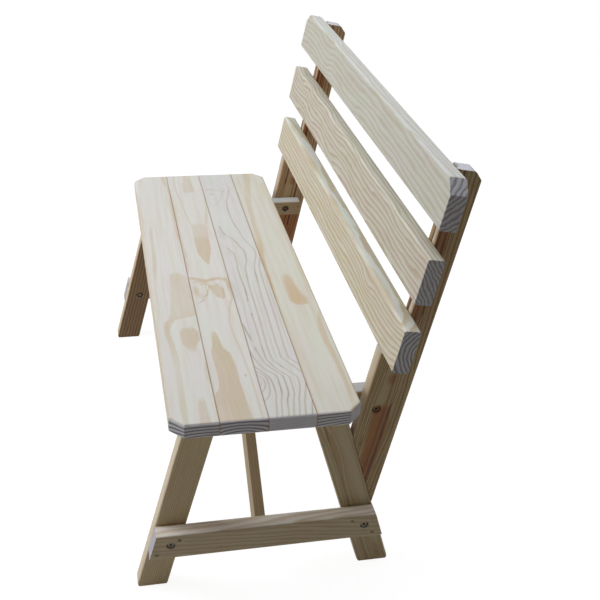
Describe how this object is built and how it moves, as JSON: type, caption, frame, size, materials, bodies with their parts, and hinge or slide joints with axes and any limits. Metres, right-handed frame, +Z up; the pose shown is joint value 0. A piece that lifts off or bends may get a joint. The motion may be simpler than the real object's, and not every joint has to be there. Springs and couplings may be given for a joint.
{
  "type": "slatted back picnic bench",
  "caption": "Pine picnic bench: a butted-board seat on raked, bolted end frames, and a slatted back whose posts turn on bolts and rest against the rear legs.",
  "frame": {"origin": "floor level, at the middle of the whole bench's length and depth", "axes": "+X along the bench's length, -Y the way the bench faces, +Z up"},
  "size_m": [1.1, 0.614, 0.921],
  "materials": {
    "seat_pine": "planed bare pine, pale with tan grain and a few knots",
    "back_pine": "planed bare pine, pale with tan grain",
    "frame_pine": "planed bare pine, pale with tan grain",
    "zinc_steel": "dull zinc plate"
  },
  "bodies": {
    "frame": {"seat_board_1": "seat_pine", "seat_board_2": "seat_pine", "seat_board_3": "seat_pine", "seat_board_4": "seat_pine", "seat_cleat": "frame_pine", "seat_bearer_left": "frame_pine", "seat_bearer_right": "frame_pine", "front_leg_left": "frame_pine", "front_leg_right": "frame_pine", "rear_leg_left": "frame_pine", "rear_leg_right": "frame_pine", "end_rail_left": "frame_pine", "end_rail_right": "frame_pine", "brace_left": "frame_pine", "brace_right": "frame_pine", "pivot_bolts": "zinc_steel", "pivot_washers": "zinc_steel", "pivot_nuts": "zinc_steel", "rail_bolts": "zinc_steel", "rail_washers": "zinc_steel", "rail_nuts": "zinc_steel", "leg_bolts": "zinc_steel", "leg_washers": "zinc_steel", "leg_nuts": "zinc_steel", "rail_screws": "zinc_steel", "seat_screws": "zinc_steel", "cleat_screws": "zinc_steel", "brace_foot_screws": "zinc_steel", "brace_head_screws": "zinc_steel"},
    "back": {"back_post_left": "back_pine", "back_post_right": "back_pine", "back_slat_bottom": "back_pine", "back_slat_middle": "back_pine", "back_slat_top": "back_pine", "slat_screws": "zinc_steel"}
  },
  "joints": [
    {"name": "back_fold", "type": "hinge", "parent": "frame", "child": "back", "pos_m": [0, 0.16586, 0.412], "axis": [1, 0, 0], "range_deg": [0, 29]}
  ]
}
